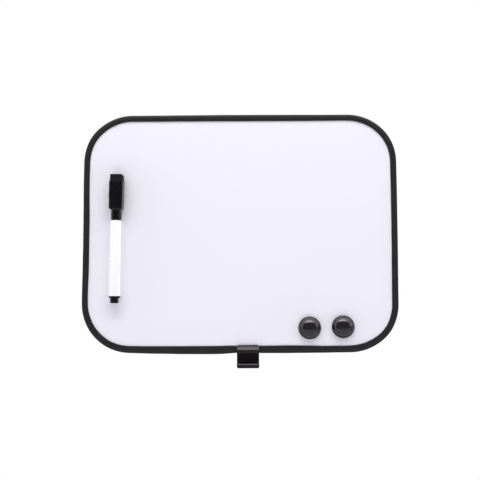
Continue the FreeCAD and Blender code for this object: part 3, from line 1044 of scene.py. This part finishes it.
def backdrop_material(name, colour):
    """A pale surface that the camera, and gloss and glass, see as plain white."""
    material = bpy.data.materials.new(name)
    material.use_nodes = True
    tree = material.node_tree
    shader = tree.nodes["Principled BSDF"]
    shader.inputs["Base Color"].default_value = (*colour, 1)
    shader.inputs["Roughness"].default_value = backdrop_roughness
    output = tree.nodes["Material Output"].inputs["Surface"]
    white_where_seen(tree, shader.outputs["BSDF"], "ShaderNodeEmission", output)
    return material


def studio_world(colour):
    """Faint light from all round, in a world that is seen as plain white."""
    world = bpy.data.worlds.new("studio")
    world.use_nodes = True
    tree = world.node_tree
    glow = tree.nodes["Background"]
    glow.inputs["Color"].default_value = (*colour, 1)
    glow.inputs["Strength"].default_value = 1
    output = tree.nodes["World Output"].inputs["Surface"]
    white_where_seen(tree, glow.outputs["Background"], "ShaderNodeBackground", output)
    return world


def stage_plane(name, corners, material):
    """A flat sheet of the studio, which isn't part of the model."""
    mesh = bpy.data.meshes.new(name)
    mesh.from_pydata(corners, [], [tuple(range(len(corners)))])
    mesh.materials.append(material)
    plane = bpy.data.objects.new(name, mesh)
    bpy.context.scene.collection.objects.link(plane)
    return plane


def level_corners(half_width, near_y, far_y, z):
    """The corners of a level sheet in the middle of the studio."""
    return [
        (-half_width, near_y, z),
        (half_width, near_y, z),
        (half_width, far_y, z),
        (-half_width, far_y, z),
    ]


def upright_corners(half_width, y, low_z, high_z):
    """The corners of an upright sheet across the studio."""
    return [
        (-half_width, y, low_z),
        (half_width, y, low_z),
        (half_width, y, high_z),
        (-half_width, y, high_z),
    ]


def side_corners(x, near_y, far_y, low_z, high_z):
    """The corners of an upright sheet at the side of the studio."""
    return [(x, near_y, low_z), (x, far_y, low_z), (x, far_y, high_z), (x, near_y, high_z)]


def reflector_card(name, corners, brightness):
    """A grey glowing card that only gloss sees, in front of the white surroundings."""
    material = bpy.data.materials.new(name)
    material.use_nodes = True
    tree = material.node_tree
    glow = tree.nodes.new("ShaderNodeEmission")
    glow.inputs["Color"].default_value = (brightness, brightness, brightness, 1)
    glow.inputs["Strength"].default_value = 1
    tree.links.new(glow.outputs["Emission"], tree.nodes["Material Output"].inputs["Surface"])
    card = stage_plane(name, corners, material)
    card.visible_camera = False
    card.visible_diffuse = False
    card.visible_transmission = False
    card.visible_shadow = False


def softbox(name, place, target, width, height, radiance, mirrored):
    """A rectangular lamp that looks at a point. Only gloss sees it, and only where it is mirrored."""
    data = bpy.data.lights.new(name, "AREA")
    data.shape = "RECTANGLE"
    data.size = width
    data.size_y = height
    data.energy = radiance * math.pi * width * height
    lamp = bpy.data.objects.new(name, data)
    lamp.location = place
    lamp.rotation_euler = (Vector(target) - Vector(place)).to_track_quat("-Z", "Y").to_euler()
    lamp.visible_glossy = mirrored
    lamp.visible_camera = False
    bpy.context.scene.collection.objects.link(lamp)


def build_studio():
    pale = backdrop_material("studio_white", backdrop_colour)
    stage_plane("floor", level_corners(stage_half_width, stage_front_y, stage_back_y, stage_floor_z), pale)
    stage_plane("backdrop", upright_corners(stage_half_width, stage_back_y, stage_floor_z, stage_top_z), pale)
    bpy.context.scene.world = studio_world(world_colour)
    reflector_card(
        "floor_card",
        level_corners(stage_half_width, front_card_y, floor_card_near_y, card_low_z),
        floor_card_brightness,
    )
    reflector_card(
        "front_card",
        upright_corners(front_card_half_width, front_card_y, card_low_z, front_card_top_z),
        front_card_brightness,
    )
    for name, x, brightness in (
        ("left_card", -side_card_x, left_card_brightness),
        ("right_card", side_card_x, right_card_brightness),
    ):
        corners = side_corners(x, side_card_front_y, side_card_back_y, card_low_z, side_card_top_z)
        reflector_card(name, corners, brightness)
    for lamp in lamps:
        softbox(*lamp)


def build_camera():
    """The camera that took the photograph."""
    data = bpy.data.cameras.new("camera")
    data.lens = camera_lens
    data.sensor_width = camera_sensor
    data.clip_start = camera_near
    camera = bpy.data.objects.new("camera", data)
    turn = (
        Matrix.Rotation(camera_yaw, 3, "Z")
        @ Matrix.Rotation(camera_pitch, 3, "X")
        @ Matrix.Rotation(camera_roll, 3, "Y")
    )
    right = turn @ Vector((1, 0, 0))
    forward = turn @ Vector((0, 1, 0))
    up = turn @ Vector((0, 0, 1))
    axes = Matrix((right, up, -forward)).transposed()
    camera.matrix_world = Matrix.Translation(camera_place) @ axes.to_4x4()
    bpy.context.scene.collection.objects.link(camera)
    bpy.context.scene.camera = camera


build_camera()
build_board()
build_clip()
build_magnets()
build_marker()
build_studio()
bpy.context.scene.view_settings.view_transform = "Standard"
